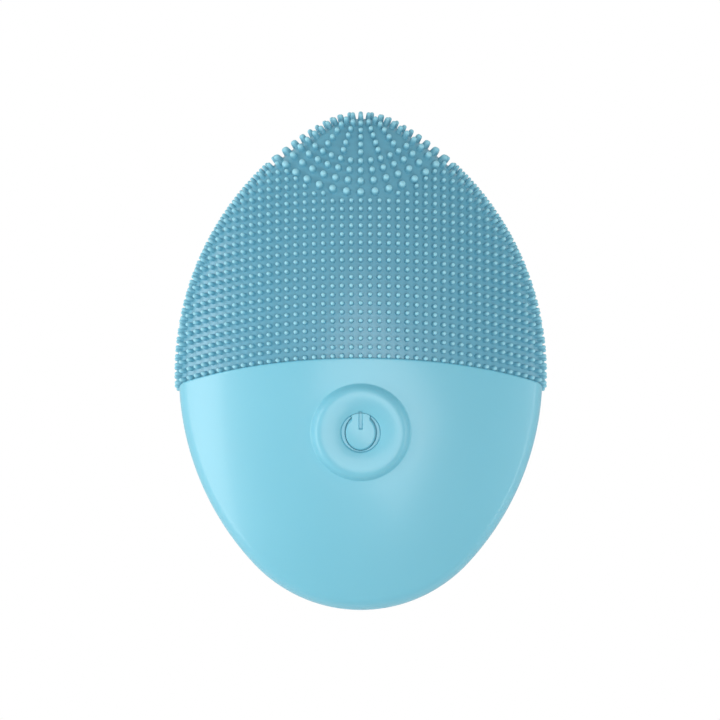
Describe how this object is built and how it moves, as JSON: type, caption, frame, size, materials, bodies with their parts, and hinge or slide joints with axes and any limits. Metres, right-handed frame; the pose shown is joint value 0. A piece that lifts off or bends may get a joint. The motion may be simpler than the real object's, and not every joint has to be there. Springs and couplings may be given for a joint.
{
  "type": "facial cleansing brush",
  "caption": "Egg-shaped silicone facial cleansing brush with a bristled upper half, a ringed power button, a vibration motor and a covered charging port.",
  "frame": {"origin": "middle of the small flat on the back that the brush rests on", "axes": "+Y towards the bristled tip, +X to the right seen from the front, +Z out of the front, along which the button faces"},
  "size_m": [0.0678, 0.0904, 0.0286],
  "materials": {
    "sleeve_silicone": "satin silicone",
    "bristle_silicone": "satin silicone",
    "grip_silicone": "satin silicone",
    "key_silicone": "satin silicone",
    "abs_white": "fine matte moulding",
    "seal_rubber": "black rubber",
    "foam": "closed-cell foam",
    "screw_steel": "zinc plated",
    "board_green": "solder mask over glass fibre",
    "chip_black": "moulded epoxy",
    "resistor_ceramic": "ceramic",
    "capacitor_ceramic": "ceramic",
    "connector_nylon": "natural nylon",
    "switch_nylon": "black nylon",
    "stem_nylon": "natural nylon",
    "led_lens": "clear epoxy",
    "cell_foil": "dull foil pouch",
    "guard_tape": "yellow polyimide tape",
    "lead_red": "PVC insulation",
    "lead_black": "PVC insulation",
    "can_steel": "nickel plated",
    "endcap_nylon": "white nylon",
    "bush_bronze": "sintered bronze",
    "magnet_ferrite": "ferrite",
    "shaft_steel": "ground",
    "core_steel": "laminated",
    "weight_brass": "turned",
    "mount_rubber": "black rubber",
    "socket_black": "black moulding",
    "terminal_brass": "tinned"
  },
  "bodies": {
    "handset": {"bristle_sleeve": "sleeve_silicone", "bristles": "bristle_silicone", "grip_skin": "grip_silicone", "port_frame": "grip_silicone", "front_shell": "abs_white", "rear_shell": "abs_white", "shell_gasket": "seal_rubber", "case_screws": "screw_steel", "circuit_board": "board_green", "board_screws": "screw_steel", "switch_body": "switch_nylon", "indicator_led": "led_lens", "control_chip": "chip_black", "charge_chip": "chip_black", "motor_transistor": "chip_black", "chip_resistors": "resistor_ceramic", "capacitors": "capacitor_ceramic", "battery_connector": "connector_nylon", "battery_cell": "cell_foil", "battery_guard": "guard_tape", "battery_pad": "foam", "battery_lead_positive": "lead_red", "battery_lead_negative": "lead_black", "motor_can": "can_steel", "motor_endcap": "endcap_nylon", "motor_bush": "bush_bronze", "motor_magnets": "magnet_ferrite", "motor_sleeve": "mount_rubber", "motor_clamp": "abs_white", "clamp_screws": "screw_steel", "motor_lead_positive": "lead_red", "motor_lead_negative": "lead_black", "charge_socket": "socket_black", "socket_seal": "seal_rubber", "socket_terminals": "terminal_brass", "charge_lead_positive": "lead_red", "charge_lead_negative": "lead_black"},
    "button": {"power_button": "key_silicone"},
    "switch_plunger": {"switch_stem": "stem_nylon"},
    "rotor": {"motor_shaft": "shaft_steel", "rotor_core": "core_steel", "eccentric_weight": "weight_brass"},
    "port_flap": {"port_cover": "grip_silicone"}
  },
  "joints": [
    {"name": "button_press", "type": "slide", "parent": "handset", "child": "button", "axis": [0, 0.1116, -0.9938], "range_m": [0, 0.0003], "stiffness_N_per_m": 3000},
    {"name": "switch_press", "type": "slide", "parent": "handset", "child": "switch_plunger", "axis": [0, 0.1116, -0.9938], "range_m": [0, 0.0003]},
    {"name": "rotor_spin", "type": "hinge", "parent": "handset", "child": "rotor", "pos_m": [0, 0.0295, 0.0126], "axis": [0, 1, 0], "continuous": true},
    {"name": "cover_hinge", "type": "hinge", "parent": "handset", "child": "port_flap", "pos_m": [0, -0.04264, 0.0089], "axis": [1, 0, 0], "range_deg": [0, 115]}
  ],
  "couplings": [
    {"joint": "switch_press", "follows": "button_press", "ratio": 1}
  ]
}
